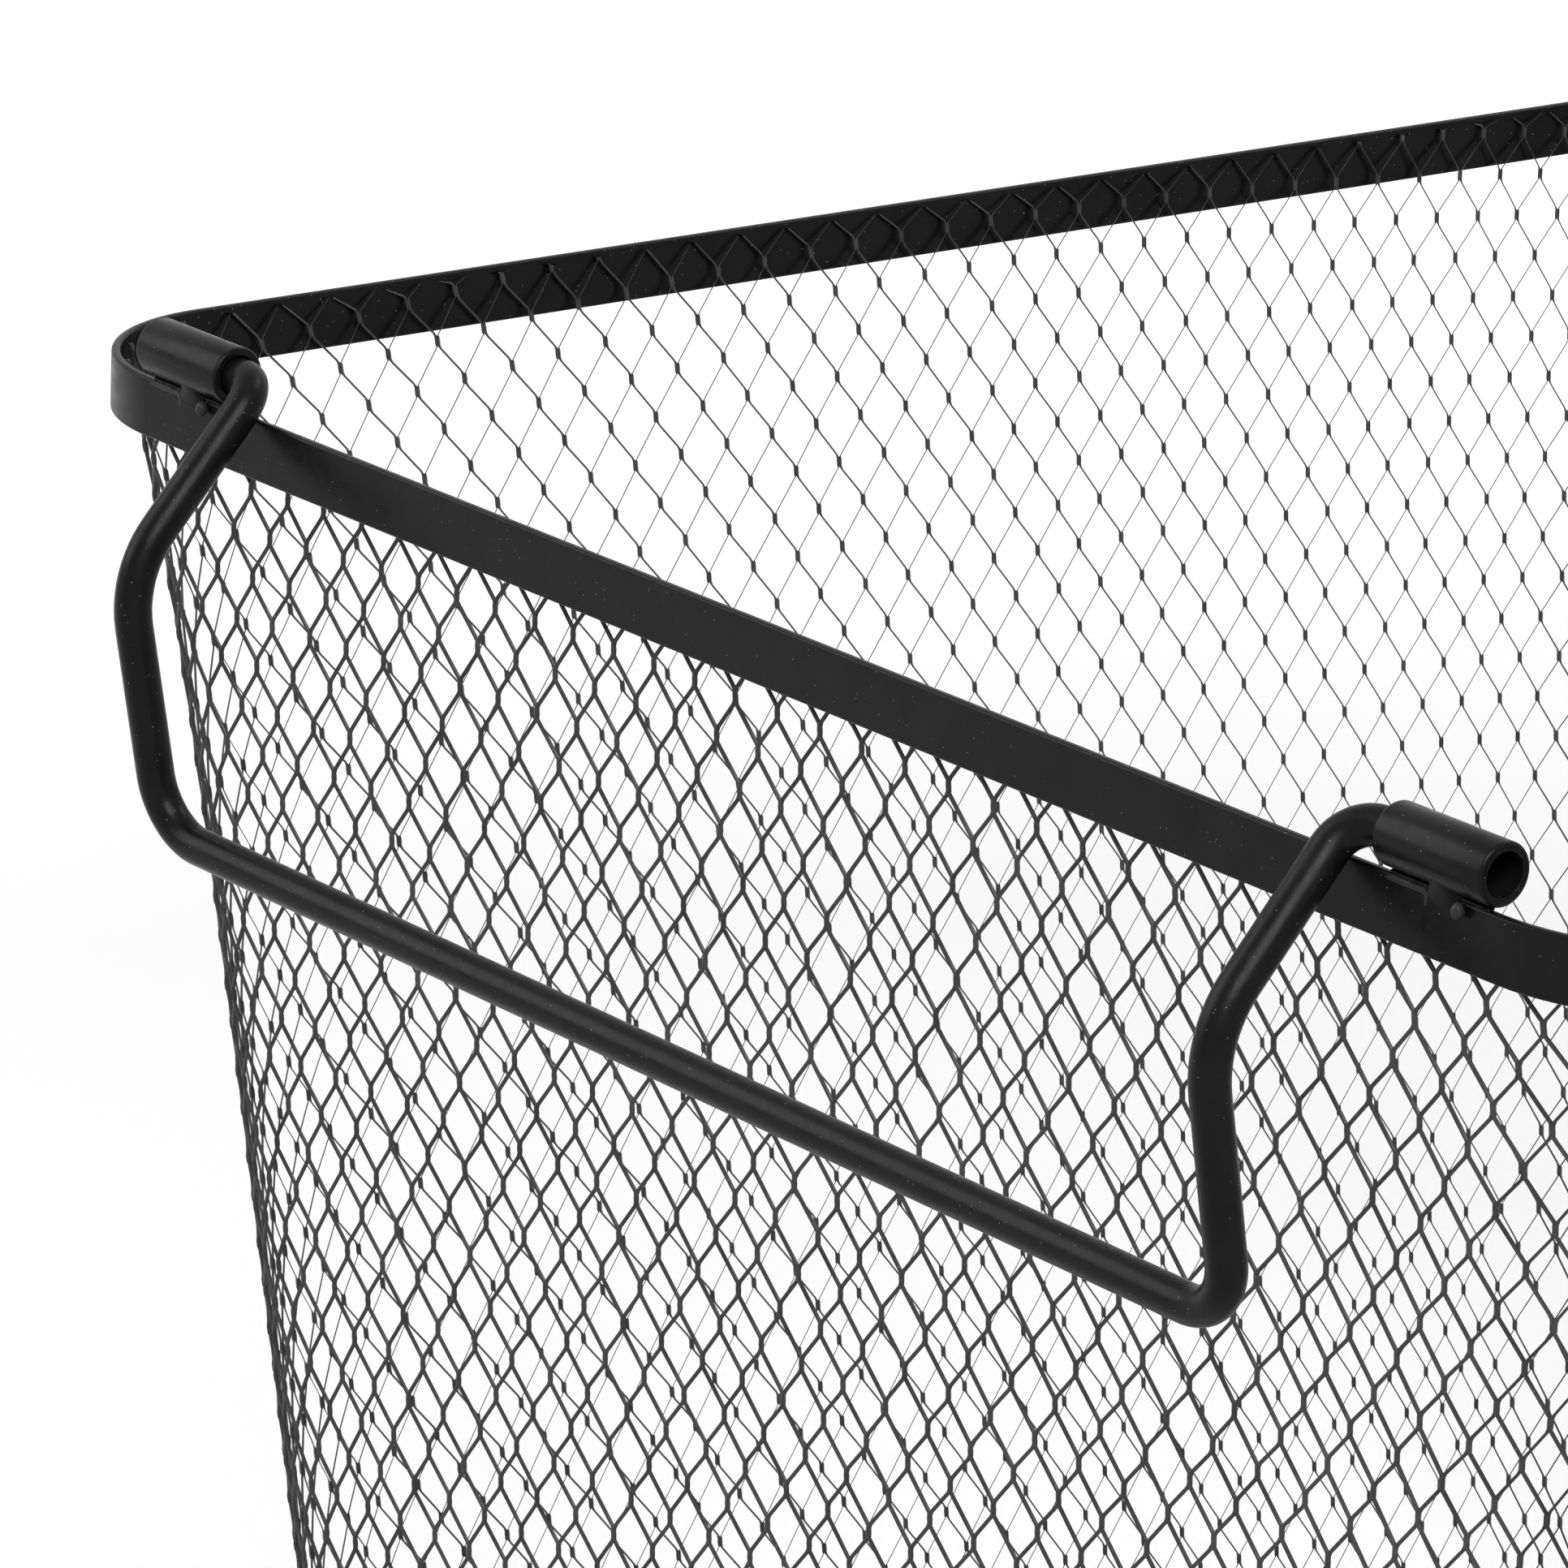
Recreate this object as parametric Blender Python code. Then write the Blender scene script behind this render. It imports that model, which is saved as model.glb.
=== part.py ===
"""Wire-mesh storage basket with two swinging bail handles.

Metres, +Z up. The origin is the middle of the footprint, on the floor.
The two handles hang on the walls that face -Y and +Y.
"""

import math

import bpy
import numpy as np

# Whole basket
BASKET_WIDTH = 0.252
BASKET_DEPTH = 0.252
BASKET_HEIGHT = 0.200
WALL_LEAN = 0.0196
FIT_GAP = 0.0003

# Rim: a flat steel bar, standing on edge, bent to a rounded square
RIM_BAR_HEIGHT = 0.0065
RIM_BAR_THICKNESS = 0.0010
RIM_CORNER_RADIUS = 0.021
CORNER_STEPS = 10

# Expanded mesh, in coarse diamonds of the true outline
MESH_STRAND = 0.0016
MESH_BOTTOM_LIFT = 0.0010
WALL_COLUMNS = 7
WALL_ROWS = 4
CORNER_COLUMNS = 1
CORNER_BENDS = 3
BASE_COLUMNS = 7
BASE_ROWS = 5
BASE_EDGE_CLEARANCE = 0.0006
MESH_CORNER_SPREAD = 0.0083
MESH_SPREAD_DEPTH = 0.0280

# Round wire ring that the walls and the base are welded to
RING_WIRE_DIAMETER = 0.0040
RING_SIDES = 12

# Sleeves: short tubes on top of the rim, which the handles turn in
SLEEVE_OUTER_DIAMETER = 0.0062
SLEEVE_BORE_DIAMETER = 0.0044
SLEEVE_LENGTH = 0.0144
SLEEVE_CORNER_CLEARANCE = 0.0006
SLEEVE_AXIS_INSET = 0.0012
SLEEVE_SIDES = 24

# Weld bead between a sleeve and the rim's front face
BEAD_LENGTH = 0.0040
BEAD_DEPTH = 0.0012
BEAD_HEIGHT = 0.0018
BEAD_SEGMENTS = 12
BEAD_RINGS = 7

# Handle: one bent round wire, measured from the sleeve's axis
HANDLE_WIRE_DIAMETER = 0.0040
HANDLE_LEG_INSET = 0.0050
HANDLE_END_DEPTH = 0.0080
HANDLE_EXIT = 0.0005
KNEE_REACH = 0.0171
KNEE_DROP = 0.0178
GRIP_REACH = 0.0117
GRIP_DROP = 0.0464
TOP_BEND_RADIUS = 0.0040
KNEE_BEND_RADIUS = 0.0120
GRIP_BEND_RADIUS = 0.0065
BEND_STEPS = 6
WIRE_BEVEL_RESOLUTION = 4

# Coating: satin black powder coat on steel
COAT_COLOUR = (0.016, 0.016, 0.017, 1.0)
COAT_ROUGHNESS = 0.42
COAT_METALLIC = 0.0

# Guards a whole number of steps against rounding
COUNT_MARGIN = 1e-9

LEAN_SLOPE = WALL_LEAN / BASKET_HEIGHT
SLEEVE_RADIUS = SLEEVE_OUTER_DIAMETER / 2
SLEEVE_AXIS_Z = BASKET_HEIGHT + FIT_GAP + SLEEVE_RADIUS
SLEEVE_AXIS_Y = BASKET_DEPTH / 2 - SLEEVE_AXIS_INSET
SLEEVE_OUTER_END = BASKET_WIDTH / 2 - RIM_CORNER_RADIUS - SLEEVE_CORNER_CLEARANCE
SLEEVE_INNER_END = SLEEVE_OUTER_END - SLEEVE_LENGTH
MESH_INSET = RIM_BAR_THICKNESS + FIT_GAP + MESH_STRAND / 2
MESH_CORNER_RADIUS = RIM_CORNER_RADIUS - MESH_INSET


def clear_scene():
    for item in list(bpy.data.objects):
        bpy.data.objects.remove(item, do_unlink=True)


def coat_material(name):
    """A Principled material of the basket's coating for one sub-part."""
    material = bpy.data.materials.new(name)
    material.use_nodes = True
    shader = material.node_tree.nodes["Principled BSDF"]
    shader.inputs["Base Color"].default_value = COAT_COLOUR
    shader.inputs["Roughness"].default_value = COAT_ROUGHNESS
    shader.inputs["Metallic"].default_value = COAT_METALLIC
    material.diffuse_color = COAT_COLOUR
    return material


def add_mesh(name, points, faces, parent=None):
    mesh = bpy.data.meshes.new(name)
    mesh.from_pydata([tuple(map(float, p)) for p in points], [], faces)
    mesh.update()
    mesh.materials.append(coat_material(name))
    obj = bpy.data.objects.new(name, mesh)
    bpy.context.collection.objects.link(obj)
    obj.parent = parent
    return obj


def rounded_loop(half_x, half_y, radius):
    """Points and outward normals of a rounded rectangle, anticlockwise from above."""
    points = []
    normals = []
    for quarter in range(4):
        turn = quarter * math.pi / 2
        side_x = 1 if quarter in (0, 3) else -1
        side_y = 1 if quarter in (0, 1) else -1
        centre = (side_x * (half_x - radius), side_y * (half_y - radius))
        for step in range(CORNER_STEPS + 1):
            angle = turn + math.pi / 2 * step / CORNER_STEPS
            normal = (math.cos(angle), math.sin(angle))
            points.append((centre[0] + radius * normal[0], centre[1] + radius * normal[1]))
            normals.append(normal)
    return points, normals


def sweep_loop(name, points, normals, profile, height):
    """Carries a closed profile, given as (outward, up) offsets, round a closed level path."""
    count = len(profile)
    vertices = []
    for point, normal in zip(points, normals):
        for out, up in profile:
            vertices.append((point[0] + out * normal[0], point[1] + out * normal[1], height + up))
    faces = []
    for i in range(len(points)):
        here = i * count
        there = (i + 1) % len(points) * count
        for j in range(count):
            k = (j + 1) % count
            faces.append((here + j, there + j, there + k, here + k))
    return add_mesh(name, vertices, faces)


def make_rim_bar():
    points, normals = rounded_loop(BASKET_WIDTH / 2, BASKET_DEPTH / 2, RIM_CORNER_RADIUS)
    profile = [
        (0, 0),
        (-RIM_BAR_THICKNESS, 0),
        (-RIM_BAR_THICKNESS, -RIM_BAR_HEIGHT),
        (0, -RIM_BAR_HEIGHT),
    ]
    return sweep_loop("rim_bar", points, normals, profile, BASKET_HEIGHT)


def unit(vector):
    vector = np.array(vector, float)
    return vector / np.linalg.norm(vector)


def mesh_inset(height):
    """How far the mesh's middle surface lies inside the rim's outer face at this height."""
    return MESH_INSET + LEAN_SLOPE * (BASKET_HEIGHT - height)


def mesh_corner_radius(height):
    """The mesh's corner radius, which grows below the rim. It runs straight between half rows."""
    rise = (BASKET_HEIGHT - MESH_BOTTOM_LIFT) / (2 * WALL_ROWS)
    steps = (height - MESH_BOTTOM_LIFT) / rise
    below = math.floor(steps + COUNT_MARGIN)
    radii = []
    for step in (below, below + 1):
        depth = max(0, (2 * WALL_ROWS - step) * rise)
        radii.append(MESH_CORNER_RADIUS + MESH_CORNER_SPREAD * (1 - math.exp(-depth / MESH_SPREAD_DEPTH)))
    return radii[0] + (radii[1] - radii[0]) * (steps - below)


def make_base_ring():
    radius = RING_WIRE_DIAMETER / 2
    inset = mesh_inset(radius) + MESH_STRAND / 2 + FIT_GAP + radius
    corner = mesh_corner_radius(radius) - MESH_STRAND / 2 - FIT_GAP - radius
    points, normals = rounded_loop(BASKET_WIDTH / 2 - inset, BASKET_DEPTH / 2 - inset, corner)
    flat = math.pi / RING_SIDES
    reach = radius / math.cos(flat)
    profile = []
    for side in range(RING_SIDES):
        angle = flat + 2 * math.pi * side / RING_SIDES
        profile.append((reach * math.cos(angle), reach * math.sin(angle)))
    return sweep_loop("base_ring", points, normals, profile, radius)


def diamond_net(name, columns, rows, bends, place):
    """A net of diamonds, with half diamonds along its edges.

    place(u, v) gives the point and the unit normal for shares u and v, from 0 to 1,
    of the net's two sides. Each strand is divided into as many straight runs as
    bends says. A strand is thickest on its centre line and thins out to both sides.
    """
    half_columns = 2 * columns
    half_rows = 2 * rows
    vertices = []
    faces = []
    nodes = {}

    def node(i, j):
        """The point, the normal, and the indices of the outer and inner vertex there."""
        key = (round(i * bends), round(j * bends))
        if key not in nodes:
            point, normal = place(i / half_columns, j / half_rows)
            point = np.array(point, float)
            normal = np.array(normal, float)
            nodes[key] = (point, normal, len(vertices), len(vertices) + 1)
            vertices.extend([point + normal * MESH_STRAND / 2, point - normal * MESH_STRAND / 2])
        return nodes[key]

    def on_border(start, end):
        same_column = start[0] == end[0] and start[0] in (0, half_columns)
        same_row = start[1] == end[1] and start[1] in (0, half_rows)
        return same_column or same_row

    for i in range(half_columns + 1):
        for j in range(half_rows + 1):
            if (i + j) % 2 == 0:
                continue
            corners = [(i - 1, j), (i, j - 1), (i + 1, j), (i, j + 1)]
            corners = [c for c in corners if 0 <= c[0] <= half_columns and 0 <= c[1] <= half_rows]
            loop = []
            borders = []
            for start, end in zip(corners, corners[1:] + corners[:1]):
                runs = bends * max(abs(end[0] - start[0]), abs(end[1] - start[1]))
                for k in range(runs):
                    share = k / runs
                    step_i = start[0] + (end[0] - start[0]) * share
                    step_j = start[1] + (end[1] - start[1]) * share
                    loop.append(node(step_i, step_j))
                    borders.append(on_border(start, end))
            inset = []
            for before, here, after in zip(loop[-1:] + loop[:-1], loop, loop[1:] + loop[:1]):
                point, normal = here[:2]
                sides = []
                for run in (point - before[0], after[0] - point):
                    side = np.cross(normal, run)
                    sides.append(side / np.linalg.norm(side))
                miter = (sides[0] + sides[1]) / (1 + float(sides[0] @ sides[1]))
                inset.append(len(vertices))
                vertices.append(point + miter * MESH_STRAND / 2)
            for k, (_, _, outer_a, inner_a) in enumerate(loop):
                after = (k + 1) % len(loop)
                _, _, outer_b, inner_b = loop[after]
                faces.append((outer_a, outer_b, inset[after], inset[k]))
                faces.append((inner_b, inner_a, inset[k], inset[after]))
                if borders[k]:
                    faces.append((outer_b, outer_a, inner_a, inner_b))
    return add_mesh(name, vertices, faces)


def wall_place(side):
    """The flat wall on one side: 0 faces -Y, 1 faces +X, 2 faces +Y, 3 faces -X."""
    turn = side * math.pi / 2
    across = BASKET_WIDTH if side % 2 == 0 else BASKET_DEPTH
    away = BASKET_DEPTH if side % 2 == 0 else BASKET_WIDTH

    def place(u, v):
        height = MESH_BOTTOM_LIFT + v * (BASKET_HEIGHT - MESH_BOTTOM_LIFT)
        inset = mesh_inset(height)
        half = across / 2 - inset - mesh_corner_radius(height) - FIT_GAP / 2
        along = (2 * u - 1) * half
        out = away / 2 - inset
        point = (
            along * math.cos(turn) + out * math.sin(turn),
            along * math.sin(turn) - out * math.cos(turn),
            height,
        )
        return point, unit((math.sin(turn), -math.cos(turn), -LEAN_SLOPE))

    return place


def corner_place(corner):
    """The round corner that follows wall number corner, a quarter turn at each height."""
    start = (corner - 1) * math.pi / 2
    side_x = 1 if corner in (0, 1) else -1
    side_y = 1 if corner in (1, 2) else -1

    def place(u, v):
        height = MESH_BOTTOM_LIFT + v * (BASKET_HEIGHT - MESH_BOTTOM_LIFT)
        radius = mesh_corner_radius(height)
        gap_angle = FIT_GAP / 2 / radius
        inset = mesh_inset(height) + radius
        angle = start + gap_angle + u * (math.pi / 2 - 2 * gap_angle)
        across = math.cos(angle)
        away = math.sin(angle)
        point = (
            side_x * (BASKET_WIDTH / 2 - inset) + radius * across,
            side_y * (BASKET_DEPTH / 2 - inset) + radius * away,
            height,
        )
        return point, unit((across, away, -LEAN_SLOPE * (side_x * across + side_y * away)))

    return place


def base_place():
    """The base panel, level on the ring, its square pattern drawn in at the round corners."""
    height = RING_WIRE_DIAMETER + FIT_GAP + MESH_STRAND / 2
    inset = mesh_inset(height) + MESH_STRAND / 2 + BASE_EDGE_CLEARANCE
    half_x = BASKET_WIDTH / 2 - inset
    half_y = BASKET_DEPTH / 2 - inset
    radius = mesh_corner_radius(height) - MESH_STRAND / 2 - BASE_EDGE_CLEARANCE

    def outline_share(x, y):
        """The share of the way to the point (x, y) of the square at which a ray meets the arc."""
        corner_x = half_x - radius
        corner_y = half_y - radius
        if abs(x) <= corner_x or abs(y) <= corner_y:
            return 1.0
        a = x * x + y * y
        b = abs(x) * corner_x + abs(y) * corner_y
        c = corner_x * corner_x + corner_y * corner_y - radius * radius
        root = b * b - a * c
        return min(1.0, (b + math.sqrt(root)) / a) if root > 0 else 1.0

    def place(u, v):
        x = (2 * u - 1) * half_x
        y = (2 * v - 1) * half_y
        reach = max(abs(x) / half_x, abs(y) / half_y)
        share = outline_share(x / reach, y / reach) if reach > 0 else 1
        return (x * share, y * share, height), (0, 0, 1)

    return place


def make_mesh():
    names = ("front", "right", "back", "left")
    for side, word in enumerate(names):
        diamond_net("mesh_wall_" + word, WALL_COLUMNS, WALL_ROWS, 1, wall_place(side))
    for corner, word in enumerate(("front_right", "back_right", "back_left", "front_left")):
        place = corner_place(corner)
        diamond_net("mesh_corner_" + word, CORNER_COLUMNS, WALL_ROWS, CORNER_BENDS, place)
    diamond_net("mesh_base", BASE_COLUMNS, BASE_ROWS, 1, base_place())


def make_sleeve(name, centre_x, centre_y):
    """A plain tube along X."""
    outer = SLEEVE_RADIUS
    bore = SLEEVE_BORE_DIAMETER / 2
    half = SLEEVE_LENGTH / 2
    section = [(-half, bore), (-half, outer), (half, outer), (half, bore)]
    vertices = []
    for step in range(SLEEVE_SIDES):
        angle = 2 * math.pi * step / SLEEVE_SIDES
        for along, reach in section:
            vertices.append((along, reach * math.cos(angle), reach * math.sin(angle)))
    count = len(section)
    faces = []
    for i in range(SLEEVE_SIDES):
        here = i * count
        there = (i + 1) % SLEEVE_SIDES * count
        for j in range(count):
            k = (j + 1) % count
            faces.append((here + j, there + j, there + k, here + k))
    obj = add_mesh(name, vertices, faces)
    obj.data.shade_smooth()
    obj.data.set_sharp_from_angle(angle=math.pi / 4)
    obj.location = (centre_x, centre_y, SLEEVE_AXIS_Z)
    return obj


def make_bead(name, centre_x, facing):
    """A rounded bead under the sleeve, against the rim's outer face. facing is -1 or 1 in Y."""
    half = np.array([BEAD_LENGTH, BEAD_DEPTH, BEAD_HEIGHT]) / 2
    out = BASKET_DEPTH / 2 + FIT_GAP + half[1]
    side = out - SLEEVE_AXIS_Y
    reach = SLEEVE_RADIUS + FIT_GAP + half[2]
    drop = math.sqrt(reach * reach - side * side)
    vertices = [(-half[0], 0, 0)]
    for ring in range(1, BEAD_RINGS):
        along = math.pi * ring / BEAD_RINGS
        for step in range(BEAD_SEGMENTS):
            angle = 2 * math.pi * step / BEAD_SEGMENTS
            vertices.append(
                (
                    -half[0] * math.cos(along),
                    half[1] * math.sin(along) * math.cos(angle),
                    half[2] * math.sin(along) * math.sin(angle),
                )
            )
    vertices.append((half[0], 0, 0))
    last = len(vertices) - 1
    faces = []
    for step in range(BEAD_SEGMENTS):
        after = (step + 1) % BEAD_SEGMENTS
        faces.append((0, 1 + after, 1 + step))
        faces.append((last, last - BEAD_SEGMENTS + step, last - BEAD_SEGMENTS + after))
        for ring in range(BEAD_RINGS - 2):
            a = 1 + ring * BEAD_SEGMENTS
            b = a + BEAD_SEGMENTS
            faces.append((a + step, a + after, b + after, b + step))
    obj = add_mesh(name, vertices, faces)
    obj.data.shade_smooth()
    obj.location = (centre_x, facing * out, SLEEVE_AXIS_Z - drop)
    return obj


def leg_top():
    """Where the leg's straight run starts, beside the sleeve's axis, as (out, up).

    The run goes up from the knee just clear of the rim's outer top edge. The point
    is the one of that line that lies nearest the axis.
    """
    knee = np.array([KNEE_REACH, -KNEE_DROP])
    edge = np.array([SLEEVE_AXIS_INSET, BASKET_HEIGHT - SLEEVE_AXIS_Z])
    clear = HANDLE_WIRE_DIAMETER / 2 + FIT_GAP
    to_edge = edge - knee
    distance = math.hypot(*to_edge)
    angle = math.atan2(to_edge[1], to_edge[0]) - math.asin(clear / distance)
    direction = np.array([math.cos(angle), math.sin(angle)])
    return knee - direction * float(knee @ direction)


def rounded_path(corners, radii):
    """A polyline through the corners, each turned on an arc of its own radius."""
    corners = [np.array(c, float) for c in corners]
    path = [corners[0]]
    for before, corner, after, radius in zip(corners, corners[1:], corners[2:], radii):
        back = (before - corner) / np.linalg.norm(before - corner)
        ahead = (after - corner) / np.linalg.norm(after - corner)
        half = math.acos(max(-1.0, min(1.0, float(back @ ahead)))) / 2
        tangent = radius / math.tan(half)
        bisector = (back + ahead) / np.linalg.norm(back + ahead)
        centre = corner + bisector * radius / math.sin(half)
        start = corner + back * tangent - centre
        end = corner + ahead * tangent - centre
        sweep = math.pi - 2 * half
        steps = max(2, math.ceil(BEND_STEPS * sweep / (math.pi / 2)))
        for k in range(steps + 1):
            share = k / steps
            left = math.sin((1 - share) * sweep)
            right = math.sin(share * sweep)
            path.append(centre + (start * left + end * right) / math.sin(sweep))
    path.append(corners[-1])
    return path


def handle_path():
    """The wire's centre line from end to end, as (along X, out, up) from the sleeve's axis."""
    mouth = SLEEVE_INNER_END
    leg = mouth - HANDLE_LEG_INSET
    out, up = leg_top()
    one_side = [
        (mouth + HANDLE_END_DEPTH, 0, 0),
        (mouth - HANDLE_EXIT, 0, 0),
        (leg, out, up),
        (leg, KNEE_REACH, -KNEE_DROP),
        (leg, GRIP_REACH, -GRIP_DROP),
    ]
    other_side = [(-x, y, z) for x, y, z in reversed(one_side)]
    bends = [TOP_BEND_RADIUS, TOP_BEND_RADIUS, KNEE_BEND_RADIUS, GRIP_BEND_RADIUS]
    return rounded_path(one_side + other_side, bends + bends[::-1])


def make_handle(name, facing):
    """A bent wire whose origin is on its hinge axis. facing is -1 or 1 in Y."""
    pivot = bpy.data.objects.new(name + "_pivot", None)
    bpy.context.collection.objects.link(pivot)
    pivot.location = (0, facing * SLEEVE_AXIS_Y, SLEEVE_AXIS_Z)
    curve = bpy.data.curves.new(name, "CURVE")
    curve.dimensions = "3D"
    curve.bevel_depth = HANDLE_WIRE_DIAMETER / 2
    curve.bevel_resolution = WIRE_BEVEL_RESOLUTION
    curve.use_fill_caps = True
    path = handle_path()
    spline = curve.splines.new("POLY")
    spline.points.add(len(path) - 1)
    for point, place in zip(spline.points, path):
        point.co = (place[0], facing * place[1], place[2], 1)
    curve.materials.append(coat_material(name))
    obj = bpy.data.objects.new(name, curve)
    bpy.context.collection.objects.link(obj)
    obj.parent = pivot
    return obj


def main():
    clear_scene()
    make_rim_bar()
    make_mesh()
    make_base_ring()
    sleeve_x = (SLEEVE_INNER_END + SLEEVE_OUTER_END) / 2
    for facing, word in ((-1, "front"), (1, "back")):
        for side, hand in ((-1, "left"), (1, "right")):
            tag = word + "_" + hand
            make_sleeve("sleeve_" + tag, side * sleeve_x, facing * SLEEVE_AXIS_Y)
            make_bead("weld_bead_" + tag, side * sleeve_x, facing)
        make_handle(word + "_handle", facing)


main()
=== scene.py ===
import math

import bpy
import numpy as np
from mathutils import Matrix


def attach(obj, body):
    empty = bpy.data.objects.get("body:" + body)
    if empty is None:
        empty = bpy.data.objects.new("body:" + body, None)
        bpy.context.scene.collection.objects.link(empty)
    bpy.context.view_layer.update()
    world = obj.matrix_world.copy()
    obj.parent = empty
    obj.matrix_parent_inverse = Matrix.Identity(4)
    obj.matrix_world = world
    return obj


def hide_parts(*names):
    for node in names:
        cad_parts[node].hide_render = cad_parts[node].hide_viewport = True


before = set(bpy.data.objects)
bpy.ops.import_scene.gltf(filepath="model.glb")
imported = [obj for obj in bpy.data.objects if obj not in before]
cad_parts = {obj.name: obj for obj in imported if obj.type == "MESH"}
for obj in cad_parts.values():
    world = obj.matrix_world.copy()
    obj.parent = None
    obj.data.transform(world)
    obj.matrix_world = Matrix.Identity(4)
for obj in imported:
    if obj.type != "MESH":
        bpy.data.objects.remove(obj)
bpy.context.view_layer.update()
print("frame loaded,", len(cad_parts), "nodes")

# the whole basket, in metres
basket = {
    "halfWidth": 0.126,  # outside of the rim bar, the same both ways
    "height": 0.200,
    "lean": 0.098,  # how far a wall leans in for each metre down
    "cornerRadius": 0.021,
    "barThickness": 0.0010,
    "barHeight": 0.0065,
}

sideNames = ["front", "right", "back", "left"]
cornerNames = ["front_right", "back_right", "back_left", "front_left"]
sharpAngle = 50.0  # degrees between two faces past which their edge is drawn sharp


# mesh helpers

def addPiece(name, points, faceSets, material, body, nodes):
    # A mesh from whole arrays. faceSets is a list of whole number arrays, one for each count
    # of corners.
    surface = bpy.data.meshes.new(name)
    sizes = np.concatenate([np.full(len(f), f.shape[1]) for f in faceSets])
    corners = np.concatenate([f.ravel() for f in faceSets])
    surface.vertices.add(len(points))
    surface.vertices.foreach_set("co", np.asarray(points, np.float32).ravel())
    surface.loops.add(len(corners))
    surface.loops.foreach_set("vertex_index", corners.astype(np.int32))
    surface.polygons.add(len(sizes))
    surface.polygons.foreach_set("loop_start", (np.cumsum(sizes) - sizes).astype(np.int32))
    surface.update(calc_edges=True)
    surface.validate()
    surface.shade_smooth()
    surface.set_sharp_from_angle(angle=math.radians(sharpAngle))
    surface.materials.append(material)
    piece = bpy.data.objects.new(name, surface)
    bpy.context.collection.objects.link(piece)
    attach(piece, body)
    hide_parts(*nodes)
    return piece


def ringFaces(ringCount, sideCount, closed=False):
    # Four-cornered faces between rings, which run anticlockwise about the way they go.
    i = np.arange(ringCount if closed else ringCount - 1)[:, None]
    j = np.arange(sideCount)[None, :]
    k = (j + 1) % sideCount
    n = (i + 1) % ringCount
    return np.stack(
        [i * sideCount + j, i * sideCount + k, n * sideCount + k, n * sideCount + j], -1
    ).reshape(-1, 4)


def endCaps(ringCount, sideCount):
    # One many-cornered face on the first ring and one on the last.
    j = np.arange(sideCount)
    return np.stack([j[::-1], (ringCount - 1) * sideCount + j])


def unit(vectors):
    # Each vector over its own length.
    return vectors / np.linalg.norm(vectors, axis=-1, keepdims=True)


def roundedPath(corners, radii, steps):
    # Straight runs joined by arcs. From its centre, an arc's point is
    # (start sin((1 - t) w) + end sin(t w)) / sin w, where w is the angle that it turns by.
    # A quarter turn has the given number of steps.
    corners = [np.array(c, float) for c in corners]
    path = [corners[0][None, :]]
    for before, corner, after, radius in zip(corners, corners[1:], corners[2:], radii):
        back = unit(before - corner)
        ahead = unit(after - corner)
        half = math.acos(float(np.clip(back @ ahead, -1, 1))) / 2
        centre = corner + unit(back + ahead) * radius / math.sin(half)
        start = corner + back * radius / math.tan(half) - centre
        end = corner + ahead * radius / math.tan(half) - centre
        sweep = math.pi - 2 * half
        t = np.linspace(0, 1, max(4, round(steps * sweep / (math.pi / 2))))[:, None]
        arc = (start * np.sin((1 - t) * sweep) + end * np.sin(t * sweep)) / math.sin(sweep)
        path.append(centre + arc)
    path.append(corners[-1][None, :])
    return np.vstack(path)


def tube(path, radius, sides, reference):
    # A round section carried along a path that is nowhere parallel to reference: point
    # (i, a) = path i + radius (across cos a + normal sin a), with across and normal square
    # to the path.
    ahead = unit(np.gradient(path, axis=0))
    across = unit(np.cross(ahead, reference))
    normal = np.cross(across, ahead)
    a = np.linspace(0, 2 * math.pi, sides, endpoint=False)[None, :, None]
    circle = across[:, None, :] * np.cos(a) + normal[:, None, :] * np.sin(a)
    return path[:, None, :] + radius * circle


def spin(angle):
    # The matrix that turns a flat point by an angle.
    c, n = math.cos(angle), math.sin(angle)
    return np.array([[c, -n], [n, c]])


def drawnIn(t, reach, power):
    # 1 along most of -1 to 1 and small at both ends: (1 - |reach t|^power)^(1 / power).
    return (1 - np.abs(reach * t) ** power) ** (1 / power)


def swelled(t, waves):
    # 1 plus each wave's size times the sine of its count times t.
    total = 1
    for size, count in waves:
        total = total + size * np.sin(count * t)
    return total


print("helpers ready")


# coating
coat = {
    "colour": (0.0044, 0.0044, 0.0047),
    "paler": (0.0077, 0.0077, 0.0081),
    "cloudSize": 0.006,  # width of the paler patches
    "cloudRange": (0.35, 0.65),  # noise at which a patch starts and is full
    "roughness": (0.26, 0.36),
    "glossSize": 0.0015,  # width of the duller patches
    "glossRange": (0.3, 0.7),
    "specular": 0.086,
    "peelSize": 0.00045,  # width of one dimple of the orange peel
    "peelDepth": 0.000010,
    "grainSize": 0.00012,
    "grainDepth": 0.0000035,
    "speckSpacing": 0.0007,
    "speckRadius": 0.00006,
    "speckCore": 0.6,  # share of the radius within which a speck is full
    "speckColour": (0.24, 0.24, 0.24),
    "speckShare": 0.45,  # share of the cells that have a speck
}


rampInputs = ("From Min", "From Max", "To Min", "To Max")


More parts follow.
